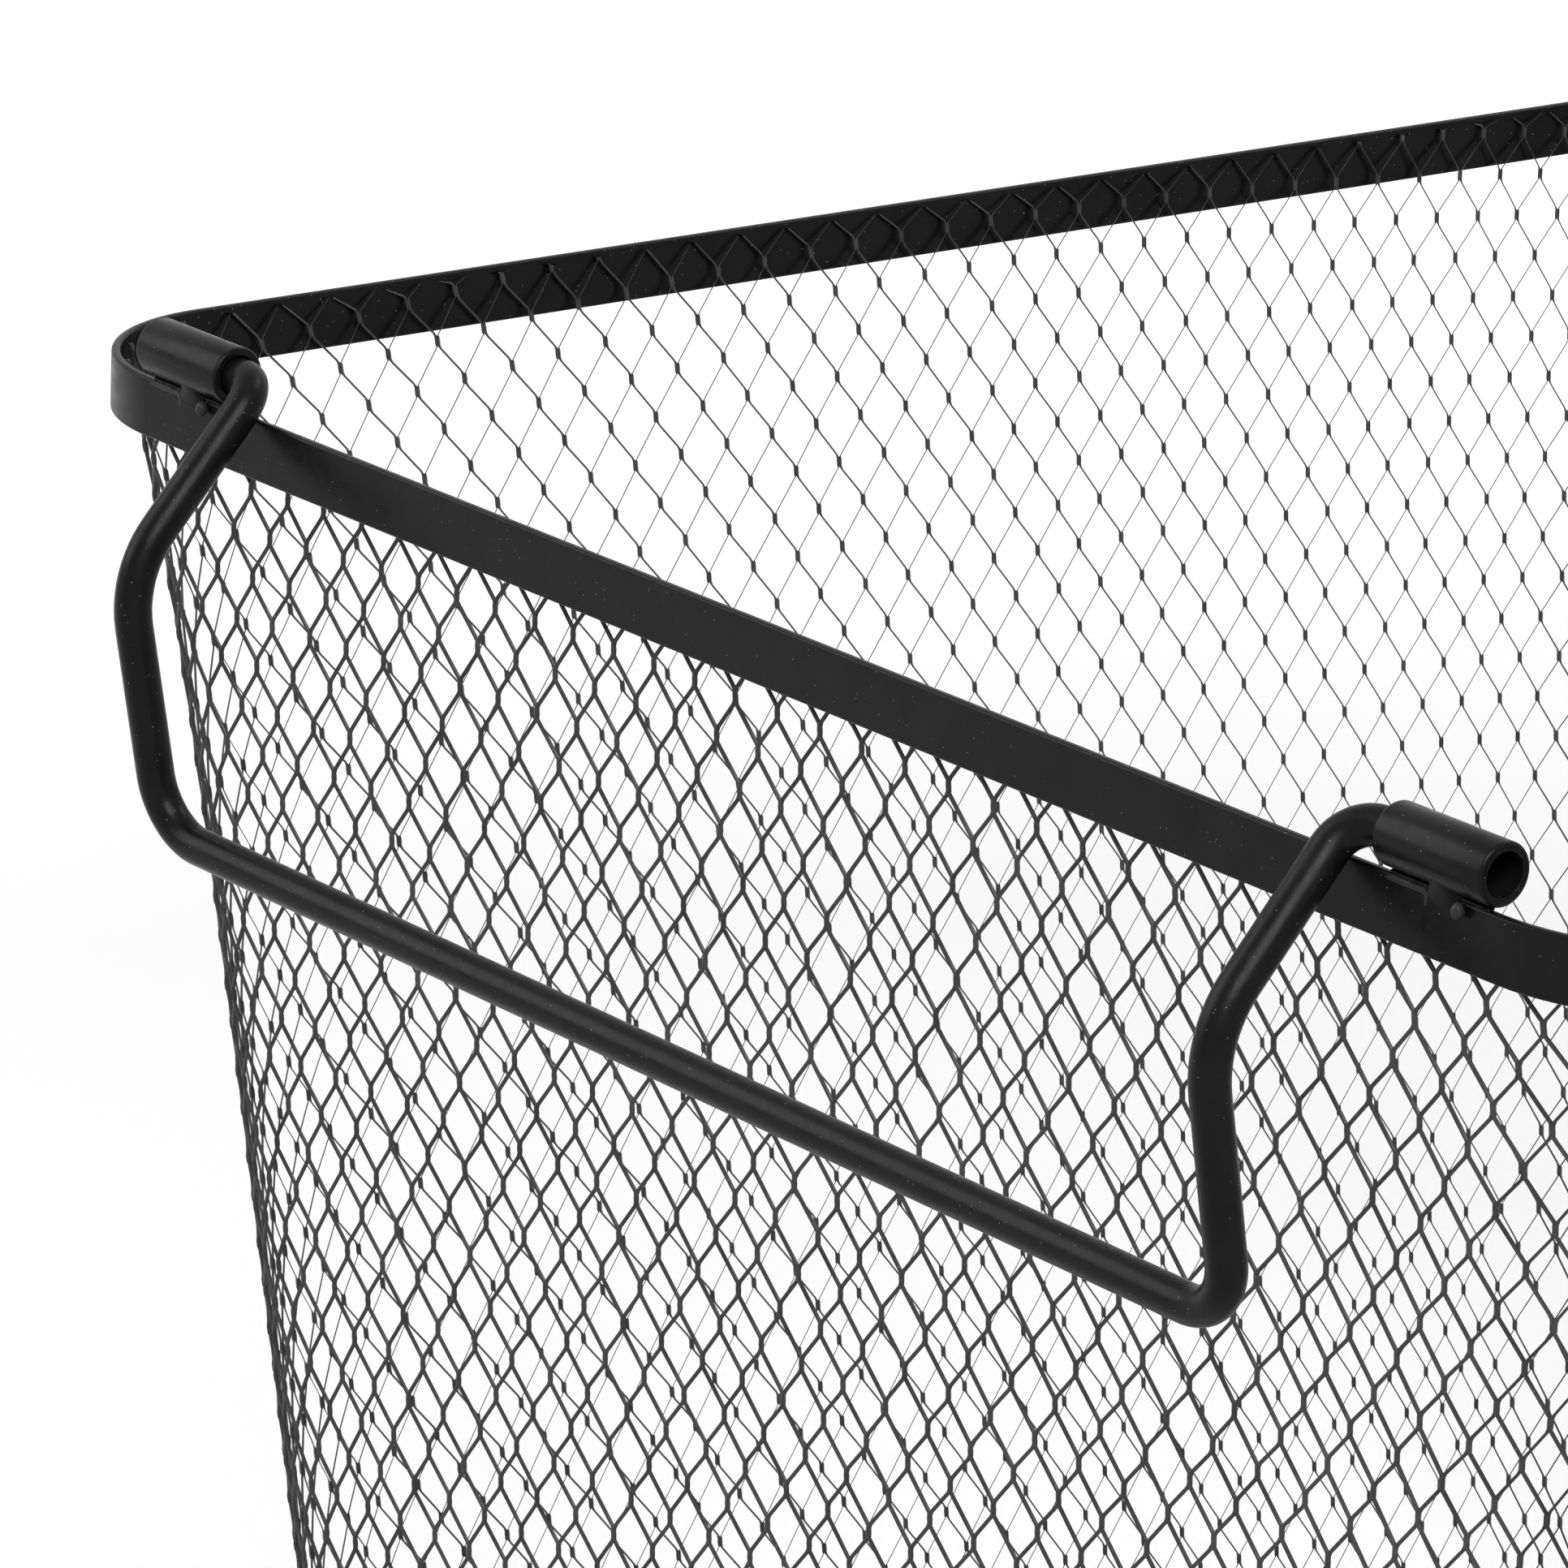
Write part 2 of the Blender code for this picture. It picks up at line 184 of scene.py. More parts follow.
def coatMaterial(name, shade=1.0, peel=1.0, gloss=1.0):
    # Satin black powder coat: cloudy colour and gloss, orange peel, and a few pale specks.
    # Shade scales its colour, peel the depth of its dimples and gloss how much it reflects.
    material = bpy.data.materials.new(name)
    material.use_nodes = True
    tree = material.node_tree
    nodes = tree.nodes
    link = tree.links.new
    shader = nodes["Principled BSDF"]
    place = nodes.new("ShaderNodeTexCoord").outputs["Object"]

    def noise(size, detail):
        # Soft noise whose patches are about size wide.
        node = nodes.new("ShaderNodeTexNoise")
        node.inputs["Scale"].default_value = 1 / size
        node.inputs["Detail"].default_value = detail
        link(place, node.inputs["Vector"])
        return node.outputs["Fac"]

    def ramp(value, low, high, start, end):
        # Straight from start to end while the value goes from low to high.
        node = nodes.new("ShaderNodeMapRange")
        link(value, node.inputs["Value"])
        for key, number in zip(rampInputs, (low, high, start, end)):
            node.inputs[key].default_value = number
        return node.outputs["Result"]

    def blendColour(share, first, second):
        # The first colour turned into the second by the share. Inputs 6 and 7 and output 2
        # are the Mix node's colours.
        node = nodes.new("ShaderNodeMix")
        node.data_type = "RGBA"
        link(share, node.inputs["Factor"])
        if isinstance(first, tuple):
            node.inputs[6].default_value = (*first, 1)
        else:
            link(first, node.inputs[6])
        node.inputs[7].default_value = (*second, 1)
        return node.outputs[2]

    def bump(height, depth, before=None):
        # The surface raised by height times depth, on top of an earlier bump.
        node = nodes.new("ShaderNodeBump")
        node.inputs["Strength"].default_value = 1.0
        node.inputs["Distance"].default_value = depth
        link(height, node.inputs["Height"])
        if before is not None:
            link(before, node.inputs["Normal"])
        return node.outputs["Normal"]

    cloud = ramp(noise(coat["cloudSize"], 4), *coat["cloudRange"], 0, 1)
    dark = tuple(shade * c for c in coat["colour"])
    pale = tuple(shade * c for c in coat["paler"])
    colour = blendColour(cloud, dark, pale)

    cells = nodes.new("ShaderNodeTexVoronoi")
    cells.inputs["Scale"].default_value = 1 / coat["speckSpacing"]
    link(place, cells.inputs["Vector"])
    edge = coat["speckRadius"] / coat["speckSpacing"]
    near = ramp(cells.outputs["Distance"], coat["speckCore"] * edge, edge, 1, 0)
    picked = nodes.new("ShaderNodeSeparateColor")
    link(cells.outputs["Color"], picked.inputs["Color"])
    chosen = nodes.new("ShaderNodeMath")
    chosen.operation = "LESS_THAN"
    chosen.inputs[1].default_value = coat["speckShare"]
    link(picked.outputs["Red"], chosen.inputs[0])
    both = nodes.new("ShaderNodeMath")
    both.operation = "MULTIPLY"
    link(near, both.inputs[0])
    link(chosen.outputs["Value"], both.inputs[1])
    colour = blendColour(both.outputs["Value"], colour, coat["speckColour"])
    link(colour, shader.inputs["Base Color"])

    dull = ramp(noise(coat["glossSize"], 3), *coat["glossRange"], *coat["roughness"])
    link(dull, shader.inputs["Roughness"])
    shader.inputs["Specular IOR Level"].default_value = gloss * coat["specular"]
    dimples = bump(noise(coat["peelSize"], 1), peel * coat["peelDepth"])
    grain = bump(noise(coat["grainSize"], 2), peel * coat["grainDepth"], dimples)
    link(grain, shader.inputs["Normal"])
    return material


print("coating ready")


# stretched mesh
mesh = {
    "inset": 0.00040,  # its middle surface, behind the bar's inner face
    "strandWidth": 0.00044,
    "bondWidth": 0.00058,
    "strandThickness": 0.00010,
    "bondThickness": 0.00036,
    "bondShift": 0.00010,  # half the distance between two strands at a bond
    "bondTilt": 42.0,  # degrees that a bond's plate is turned about the upright
    "strandTilt": 50.8,
    "rowPitch": 0.00992,
    "quarterColumns": 18.25,  # columns from a wall's middle to its corner
    "gatherLimit": 0.072,  # keeps room between the columns at the corners
    "cornerSpread": (0.0083, 0.028),  # growth of the corner radius, depth over which it comes
    "rimDepth": 0.015,  # over which the extra pitch at the rim fades
    "archEase": 0.2,  # share of the arch that is lost at a corner
    "cornerPower": 8,  # the higher, the closer to the corner its effects start
    "wobble": 0.00006,  # how far the stretched lattice strays from an even one
    "wobbleWaves": ((1.7, 2.3), (2.9, -1.3)),  # for each wave, turns by column and by row
    "directionStep": 0.03,  # rows to each side that give a strand's direction
    "flatColumns": 16.0,  # columns from a wall's middle to its corner piece
    "cornerColumns": (18.5, -18.0),  # where two sides meet, in the columns of each
    "lastStrand": 36,  # strands counted to each side of the middle
    "wallRows": (-2, 21),
    "rowMargin": 0.06,  # rows by which strands pass the rim and the foot, to be cut level
    # pitch at the top, its taper per metre, extra at the rim, first row's depth, arch of the
    # rows per metre, their fall over a quarter, how far column 0 is from the middle, how late
    # columns draw together
    "sides": {
        "front": (0.00668, 0.07, -0.00019, 0.0095, 0.53, 0.0, 0.0, 18.0),
        "right": (0.00664, 0.30, -0.00006, 0.0090, 0.56, -0.0003, 0.0003, 20.0),
        "back": (0.00666, 0.20, -0.00012, 0.0094, 0.54, 0.0002, -0.0002, 18.0),
        "left": (0.00660, 0.39, 0.00015, 0.0084, 0.62, 0.0010, 0.00056, 24.0),
    },
    "bottom": 0.0008,
    "belowTop": 0.0007,
    "basePitch": 0.00665,
    "baseRowPitch": 0.0101,
    "baseRows": (-12, 13),
    "baseHeight": 0.00440,
    "baseInset": 0.0009,
    "baseMargin": 0.30,  # columns kept free at the base panel's two sides
    "baseRowMargin": 0.05,
}

# a strand's swing over one row: 1 at a bond, -1 at the next. It leaves the bonds in sharp
# bends where it falls to the right, and in round ones where it falls to the left. The tilt
# is 0 for the plate of a bond and 1 for that of a strand.
swingRows = [-0.02, 0.045, 0.07, 0.43, 0.455, 0.52, 0.555, 0.60, 0.90, 0.945, 0.98, 1.045]
swingValues = [1, 1, 0.966, -0.966, -1, -1, -0.955, -0.80, 0.80, 0.955, 1, 1]
tiltValues = [0.1, 0.2, 1, 1, 0.2, 0.1, 0.5, 1, 1, 0.5, 0.1, 0.2]
strandSection = np.array([
    (0.5, 0), (0.36, 0.5), (-0.36, 0.5), (-0.5, 0), (-0.36, -0.5), (0.36, -0.5)
])
latticeQuarter = 0.25  # of a column and of a row, the steps that the lattice repeats in

meshInset = basket["barThickness"] + mesh["inset"]
meshRadius = basket["cornerRadius"] - meshInset
quarterLength = basket["halfWidth"] - meshInset - meshRadius + meshRadius * math.pi / 4
footRadius = meshRadius + mesh["cornerSpread"][0]


def swing(row):
    # The swing at any row, straight between the rows of the list, which repeats.
    return np.interp(row % 1.0, swingRows, swingValues)


def rowDepth(side, column, row):
    # depth = first + pitch row + arch x^2 (1 - ease u^8) + fall u (1 - u^8), where u is the
    # share of the way from the wall's middle to its corner, and x that way in metres.
    first, arch, fall = mesh["sides"][sideNames[side]][3:6]
    share = column / mesh["quarterColumns"]
    x = share * quarterLength
    near = share ** mesh["cornerPower"]
    bent = arch * x**2 * (1 - mesh["archEase"] * near) + fall * share * (1 - near)
    return first + mesh["rowPitch"] * row + bent


def wallPoint(side, column, shift, row):
    # Place, way along the wall and way out of it, at a column and row of one side.
    # The distance along the wall is s = pitch c - e u^n sign c + offset (1 - u^2) + shift.
    # Here u = |c / C| is the share of the way to the corner, and e = pitch C - (f + r pi / 4)
    # is by how much the columns are too many for the wall at this depth, so they draw
    # together at the corners: n = late / (1 + (late e / limit)^4)^(1/4) says how late. Two
    # waves over columns and rows make the shift a little uneven, less so at the corner.
    # From s = f on, the surface turns on an arc of radius r, which grows below the rim.
    top, taper, extra, _, _, _, offset, late = mesh["sides"][sideNames[side]]
    depth = rowDepth(side, column, row)
    below = np.maximum(depth, 0)
    pitch = top * (1 - taper * below) + extra * np.exp(-below / mesh["rimDepth"])
    growth, spreadDepth = mesh["cornerSpread"]
    radius = meshRadius + growth * (1 - np.exp(-below / spreadDepth))
    inward = meshInset + basket["lean"] * depth
    flat = basket["halfWidth"] - inward - radius
    full = mesh["quarterColumns"]
    excess = pitch * full - flat - radius * math.pi / 4
    power = late / (1 + (late * excess / mesh["gatherLimit"]) ** 4) ** 0.25
    share = np.abs(column / full)
    first, second = mesh["wobbleWaves"]
    stray = np.sin(first[0] * column + first[1] * row)
    stray = stray + np.sin(second[0] * column + second[1] * row + side)
    shift = shift + mesh["wobble"] * stray * (1 - share ** mesh["cornerPower"])
    gathered = excess * share**power * np.sign(column)
    s = pitch * column - gathered + offset * (1 - share**2) + shift
    angle = np.sign(s) * np.maximum(np.abs(s) - flat, 0) / radius
    x = np.clip(s, -flat, flat) + radius * np.sin(angle)
    y = -flat - radius * np.cos(angle)
    turn = side * math.pi / 2
    c, n = math.cos(turn), math.sin(turn)
    place = np.stack([c * x - n * y, n * x + c * y, basket["height"] - depth], -1)
    a = angle + turn
    zero = np.zeros_like(a)
    along = np.stack([np.cos(a), np.sin(a), zero], -1)
    outward = np.stack([np.sin(a), -np.cos(a), zero], -1)
    return place, along, outward


def strandRings(centre, hand, rows, pointAt):
    # Rings of the strands whose middles lie at the columns centre, hand 1 or -1. A strand
    # swings a quarter column to each side of its middle. Ring point = place + across u +
    # normal v, where (u, v) is the flat section, across is square to the strand's direction
    # and to its face, and the face is along sin tilt + outward cos tilt.
    late = latticeQuarter * (1 - hand)  # half a row for the second hand

    def middle(row):
        # The strand's middle line: at column centre - swing / 4, and shifted off the bond's
        # middle along the bond's own plate.
        swung = swing(row + late)
        lift = np.radians(mesh["bondTilt"])
        shift = mesh["bondShift"] * swung
        column = centre - latticeQuarter * swung
        place, along, outward = pointAt(column, shift * math.cos(lift), row)
        return place + outward * (shift * math.sin(lift))[..., None], along, outward

    step = mesh["directionStep"]
    place, along, outward = middle(rows)
    ahead = unit(middle(rows + step)[0] - middle(rows - step)[0])
    share = np.interp((rows + late) % 1.0, swingRows, tiltValues)
    tilt = mesh["bondTilt"] + share * (mesh["strandTilt"] - mesh["bondTilt"])
    tilt = np.radians(tilt)[..., None]
    face = np.sin(tilt) * along + np.cos(tilt) * outward
    across = unit(np.cross(ahead, face))
    normal = np.cross(across, ahead)
    thinner = mesh["strandThickness"] - mesh["bondThickness"]
    thickness = mesh["bondThickness"] + share * thinner
    width = mesh["bondWidth"] + share * (mesh["strandWidth"] - mesh["bondWidth"])
    u = (strandSection[:, 0] * width[..., None])[..., None]
    v = (strandSection[:, 1] * thickness[..., None])[..., None]
    return place[..., None, :] + across[..., None, :] * u + normal[..., None, :] * v


def strandMesh(rings, kept):
    # Points and faces of the kept rings, each strand closed at both of its ends.
    sides = rings.shape[2]
    ids = (np.cumsum(kept.ravel()) - 1).reshape(kept.shape)
    joined = kept[:, :-1] & kept[:, 1:]
    a = ids[:, :-1][joined][:, None] * sides
    b = ids[:, 1:][joined][:, None] * sides
    j = np.arange(sides)
    k = (j + 1) % sides
    walls = np.stack([a + k, a + j, b + j, b + k], -1).reshape(-1, 4)
    edge = np.zeros_like(kept[:, :1])
    first = ids[kept & ~np.hstack([edge, kept[:, :-1]])][:, None] * sides
    last = ids[kept & ~np.hstack([kept[:, 1:], edge])][:, None] * sides
    caps = np.vstack([first + j, last + j[::-1]])
    return rings[kept].reshape(-1, 3), [walls, caps]


def clipRows(rows, low, high):
    # Rows beyond the two limits are drawn back to them, and only one of each is kept.
    clipped = np.clip(rows, low, high)
    inside = (rows > low) & (rows < high)
    edge = np.zeros_like(inside[:, :1])
    grown = inside | np.hstack([inside[:, 1:], edge]) | np.hstack([edge, inside[:, :-1]])
    return clipped, grown


def rowSteps(first, last, hand):
    # The rows at which the strands of each hand have a ring; one hand lies half a row early.
    steps = np.arange(first, last)[:, None] + np.array(swingRows[1:-1])
    return steps.ravel() - latticeQuarter * (1 - hand)


def strandColumns(index):
    # The middle of strand number i lies at column 1 / 4 + i / 2.
    return latticeQuarter + 2 * latticeQuarter * index


def wallStrands(side, low, high):
    # The strands of one side whose middles lie between the columns low and high.
    index = np.arange(-mesh["lastStrand"], mesh["lastStrand"] + 1)
    centre = strandColumns(index)
    hand = np.where((index + side) % 2 == 0, 1.0, -1.0)
    chosen = (centre > low) & (centre < high)
    centre = centre[chosen][:, None]
    hand = hand[chosen][:, None]
    steps = rowSteps(*mesh["wallRows"], hand)
    start = rowDepth(side, centre, 0)
    margin = mesh["rowMargin"]
    top = -start / mesh["rowPitch"] - margin
    foot = (basket["height"] - mesh["bottom"] - start) / mesh["rowPitch"] + margin
    steps, kept = clipRows(steps, top, foot)
    rings = strandRings(centre, hand, steps, lambda c, s, r: wallPoint(side, c, s, r))
    rings[..., 2] = np.clip(rings[..., 2], mesh["bottom"], basket["height"] - mesh["belowTop"])
    return strandMesh(rings, kept)


def joinParts(parts):
    # One point array and one set of faces out of several.
    points = []
    quads = []
    caps = []
    start = 0
    for partPoints, (partQuads, partCaps) in parts:
        points.append(partPoints)
        quads.append(partQuads + start)
        caps.append(partCaps + start)
        start += len(partPoints)
    return np.vstack(points), [np.vstack(quads), np.vstack(caps)]


# The strands wear the same black coat as the rim; shade 6 makes a paler copy of it, a painted
# sheen of the light that their plates and edges catch.
meshPaintedSheenCoat = coatMaterial("meshCoatPaintedSheen", shade=6.0, peel=0.6, gloss=2.4)
flatColumns = mesh["flatColumns"]
rightEnd, leftEnd = mesh["cornerColumns"]
for side, name in enumerate(sideNames):
    points, faces = wallStrands(side, -flatColumns, flatColumns)
    addPiece("meshWall" + name.title(), points, faces, meshPaintedSheenCoat, "basket",
             ["mesh_wall_" + name])
    print("mesh wall", name, len(faces[0]), "faces")
for corner, name in enumerate(cornerNames):
    rightPart = wallStrands(corner, flatColumns, rightEnd)
    leftPart = wallStrands((corner + 1) % 4, leftEnd, -flatColumns)
    points, faces = joinParts([rightPart, leftPart])
    title = "".join(word.title() for word in name.split("_"))
    addPiece("meshCorner" + title, points, faces, meshPaintedSheenCoat, "basket",
             ["mesh_corner_" + name])
    print("mesh corner", name, len(faces[0]), "faces")


def baseOutline():
    # Half width and corner radius of the base panel: those of the leaning walls at its
    # height, less its inset.
    depth = basket["height"] - mesh["baseHeight"]
    inward = meshInset + basket["lean"] * depth + mesh["baseInset"]
    return basket["halfWidth"] - inward, footRadius - mesh["baseInset"]


def baseStrands():
    # The same strands laid flat, columns along X, cut on a rounded square: at x they reach
    # half - radius + sqrt(radius^2 - over^2), where over is how far x is into the corner.
    half, radius = baseOutline()
    count = int(2 * half / mesh["basePitch"])
    index = np.arange(-count, count)
    centre = strandColumns(index)[:, None]
    hand = np.where(index % 2 == 0, 1.0, -1.0)[:, None]
    widest = half / mesh["basePitch"] - mesh["baseMargin"]
    chosen = np.abs(centre[:, 0]) < widest
    centre, hand = centre[chosen], hand[chosen]
    steps = rowSteps(*mesh["baseRows"], hand)
    x = np.minimum(np.abs(centre) * mesh["basePitch"], half)
    over = np.maximum(x - (half - radius), 0)
    reach = half - radius + np.sqrt(radius**2 - over**2)
    limit = reach / mesh["baseRowPitch"] + mesh["baseRowMargin"]
    steps, kept = clipRows(steps, -limit, limit)

    def basePoint(column, shift, row):
        # Place (pitch column + shift, -row pitch row, height), with X along and Z out.
        x = column * mesh["basePitch"] + shift
        y = -row * mesh["baseRowPitch"]
        zero = np.zeros_like(x)
        place = np.stack([x, y, zero + mesh["baseHeight"]], -1)
        along = np.stack([zero + 1, zero, zero], -1)
        upward = np.stack([zero, zero, zero + 1], -1)
        return place, along, upward

    rings = strandRings(centre, hand, steps, basePoint)
    over = np.clip(np.abs(rings[..., 0]) - (half - radius), 0, radius)
    cut = half - radius + np.sqrt(radius**2 - over**2)
    rings[..., 1] = np.clip(rings[..., 1], -cut, cut)
    return strandMesh(rings, kept)


points, faces = baseStrands()
addPiece("meshBase", points, faces, meshPaintedSheenCoat, "basket", ["mesh_base"])
print("mesh base", len(faces[0]), "faces")


# rim bar and base ring
rimBar = {"edgeRadius": 0.00034, "edgeSteps": 5, "cornerSteps": 40, "flatSteps": 24}
baseRing = {"wireRadius": 0.0020, "sides": 28, "gap": 0.00012}


def roundedSquare(half, radius, cornerSteps, flatSteps):
    # Points and outward directions round a square whose corners are arcs: an arc's point is
    # half - radius + radius (cos a, sin a), a straight run follows it, and the two come four
    # times, each a quarter turn on.
    t = np.linspace(0, 1, cornerSteps + 1)
    angle = t * math.pi / 2
    out = np.stack([np.cos(angle), np.sin(angle)], -1)
    arc = half - radius + radius * out
    run = np.linspace(half - radius, radius - half, flatSteps + 1)[1:-1]
    flat = np.stack([run, np.full_like(run, half)], -1)
    quarter = np.vstack([arc, flat])
    outQuarter = np.vstack([out, np.tile([0.0, 1.0], (len(run), 1))])
    turns = [spin(k * math.pi / 2).T for k in range(4)]
    return np.vstack([quarter @ t for t in turns]), np.vstack([outQuarter @ t for t in turns])


def sweepRound(path, out, profile, height):
    # Point (i, j) = path i + profile j's outward share along out i, lifted by its up share.
    flat = path[:, None, :] + out[:, None, :] * profile[None, :, :1]
    z = np.broadcast_to(height + profile[None, :, 1:], flat.shape[:2] + (1,))
    return np.concatenate([flat, z], -1)


def roundedBox(width, tall, radius, steps):
    # Section of a bar as (out, up), with its outer top edge at 0, 0: a quarter circle about
    # each of the four centres, each turned a quarter further than the one before.
    angle = np.linspace(0, math.pi / 2, steps + 1)
    corner = np.stack([np.cos(angle), np.sin(angle)], -1) * radius
    left, low = radius - width, radius - tall
    centres = [(-radius, -radius), (left, -radius), (left, low), (-radius, low)]
    turned = [corner @ spin(k * math.pi / 2).T + at for k, at in enumerate(centres)]
    return np.vstack(turned)


rimCoat = coatMaterial("rimCoat", shade=0.7, peel=1.0)
# The run along the bar's edge and the ball are the same black coat; shade 4.2 paints a highlight
# into their colour.
markPaintedHighlightCoat = coatMaterial("markPaintedHighlightCoat", shade=4.2, peel=1.5)
# The weld fillet and seam are the same black coat; shade 0.6 paints the shade under the sleeve
# into their colour, and gloss 0.5 dims their reflection.
weldPaintedShadeCoat = coatMaterial("weldPaintedShadeCoat", shade=0.6, peel=1.5, gloss=0.5)
squareSteps = (rimBar["cornerSteps"], rimBar["flatSteps"])
path, out = roundedSquare(basket["halfWidth"], basket["cornerRadius"], *squareSteps)
profile = roundedBox(basket["barThickness"], basket["barHeight"], rimBar["edgeRadius"],
                     rimBar["edgeSteps"])
rings = sweepRound(path, out, profile[::-1], basket["height"])
faces = ringFaces(len(path), len(profile), True)
addPiece("rimBar", rings.reshape(-1, 3), [faces], rimCoat, "basket", ["rim_bar"])

ringRadius = baseRing["wireRadius"]
inward = meshInset + basket["lean"] * (basket["height"] - ringRadius)
inward = inward + mesh["inset"] + baseRing["gap"] + ringRadius
path, out = roundedSquare(basket["halfWidth"] - inward,
                          footRadius - mesh["inset"] - ringRadius, *squareSteps)
angle = np.linspace(0, 2 * math.pi, baseRing["sides"], endpoint=False)
profile = np.stack([np.cos(angle), np.sin(angle)], -1) * ringRadius
rings = sweepRound(path, out, profile[::-1], ringRadius)
faces = ringFaces(len(path), len(profile), True)
addPiece("baseRing", rings.reshape(-1, 3), [faces], rimCoat, "basket", ["base_ring"])
print("rim bar and base ring")


# sleeves and welds
sleeve = {
    "radius": 0.0031,
    "bore": 0.0022,
    "length": 0.0144,
    "edge": 0.00035,  # radius of its outer edges
    "lip": 0.00012,  # radius of the bore's edges
    "axisInset": 0.0012,
    "gap": 0.0003,
    "middle": 0.0972,  # along X
    "sides": 72,
    "edgeSteps": 6,
}
weld = {
    "middle": 0.0009,  # from the sleeve's middle
    "half": 0.0027,  # half its length along the bar
    "rings": 26,
    "steps": 12,
    "startAngle": 44.0,  # degrees below the level, where it leaves the sleeve
    "reachDown": 0.0013,
    "reach": 0.998,  # share of its half length at which its ends are closed
    "fullness": 0.7,  # the lower, the fuller its ends
    "hollow": (0.00025, 0.00035),  # off the bar's face and under the rim, where it bends in
    "barDepth": 0.0005,  # how far its back lies behind the bar's face
    "sleeveShare": 0.7,  # and in the sleeve, as a share of the way from its axis
    "sleeveDepth": 0.0006,
    # from the sleeve's middle, from the bar's face and from the rim top
    "ball": (0.0034, 0.00070, -0.0007),
    "ballRadii": (0.00066, 0.00064, 0.00080),
    "ballGrid": (18, 24),
    "ballPole": 0.04,  # angle from a pole at which the end is closed
    "ballLump": 0.05,
    "seam": (-0.0066, 0.0066, 0.00065, 0.00036),  # from, to, half width, half height
    "seamGrid": (60, 20),
    "seamEnds": (0.999, 6),
    "seamInset": 0.75,  # half widths from the bar's face to its middle
    "seamWaves": ((0.10, 9), (0.06, 23)),
    "mark": (-0.0070, -0.00155, 0.00045, 0.0017),  # from, to, below the top edge, how far down
    "markSize": (0.00022, 0.00005),  # half width, how proud it stands
    "markBend": 0.0004,
    "markSteps": (20, 16, 12),  # along the edge, for a quarter turn, down the face
    "markSides": 16,
    "markEnds": (0.995, 4),
    "markWaves": ((0.10, 7), (0.06, 19)),
}
axisUp = basket["height"] + sleeve["gap"] + sleeve["radius"]
axisOut = basket["halfWidth"] - sleeve["axisInset"]


def makeSleeve(centreX):
    # A tube along X: its section (x, r), with rounded ends, turned about the axis.
    half, edge = sleeve["length"] / 2, sleeve["edge"]
    a = np.linspace(0, math.pi / 2, sleeve["edgeSteps"])
    radius, bore, lip = sleeve["radius"], sleeve["bore"], sleeve["lip"]
    outerEnd = np.stack([half - edge + edge * np.sin(a), radius - edge + edge * np.cos(a)], -1)
    innerEnd = np.stack([half - lip + lip * np.cos(a), bore + lip - lip * np.sin(a)], -1)
    right = np.vstack([outerEnd, innerEnd])
    section = np.vstack([right, right[::-1] * (-1, 1)])
    turn = np.linspace(0, 2 * math.pi, sleeve["sides"], endpoint=False)[:, None]
    x = section[None, :, 0] + 0 * turn + centreX
    y = section[None, :, 1] * np.cos(turn)
    z = section[None, :, 1] * np.sin(turn)
    return np.stack([x, y, z], -1)


def makeWeld(centreX):
    # A hollow fillet from the sleeve's underside to the bar's face, lofted along X. At x its
    # size is k = (1 - (reach x / half)^2)^fullness. The curve from A on the sleeve to B on
    # the bar bends in to C, by where they meet: (1 - t)^2 A + 2 t (1 - t) C + t^2 B.
    x = np.linspace(-1, 1, weld["rings"])[:, None, None] * weld["half"]
    k = (1 - (weld["reach"] * x / weld["half"]) ** 2) ** weld["fullness"]
    start = np.radians(-90 + (90 - weld["startAngle"]) * k)
    r = sleeve["radius"]
    a = np.concatenate([r * np.cos(start), r * np.sin(start)], -1)
    face = sleeve["axisInset"]
    top = basket["height"] - axisUp
    b = np.concatenate([face + 0 * k, top - weld["reachDown"] * k], -1)
    off, under = weld["hollow"]
    c = np.concatenate([face + off + 0 * k, top - under * k], -1)
    t = np.linspace(0, 1, weld["steps"])[None, :, None]
    curve = (1 - t) ** 2 * a + 2 * t * (1 - t) * c + t**2 * b
    inBar = b - (weld["barDepth"], 0)
    inSleeve = a * weld["sleeveShare"] - (weld["sleeveDepth"], 0)
    behind = np.concatenate([inBar, inSleeve], 1)
    section = np.concatenate([curve, behind], 1)
    x = np.broadcast_to(x + centreX + weld["middle"], section.shape[:2] + (1,))
    return np.concatenate([x, section], -1)


def makeSeam(centreX):
    # A thin run of weld metal between the bar's top and the sleeve, lofted along X. Its
    # section is an ellipse of the two half sizes times k, where k falls to nothing at both
    # ends and is swelled by two waves between them.
    start, end, halfWidth, halfHeight = weld["seam"]
    count, sides = weld["seamGrid"]
    u = np.linspace(-1, 1, count)[:, None]
    k = drawnIn(u, *weld["seamEnds"]) * swelled(u, weld["seamWaves"])
    a = np.linspace(0, 2 * math.pi, sides, endpoint=False)[None, :]
    x = centreX + (start + end) / 2 + (end - start) / 2 * u + 0 * a
    out = sleeve["axisInset"] - halfWidth * weld["seamInset"] + halfWidth * k * np.cos(a)
    up = basket["height"] - axisUp + sleeve["gap"] / 2 - halfHeight * k * np.sin(a)
    return np.stack([x, out, up], -1)


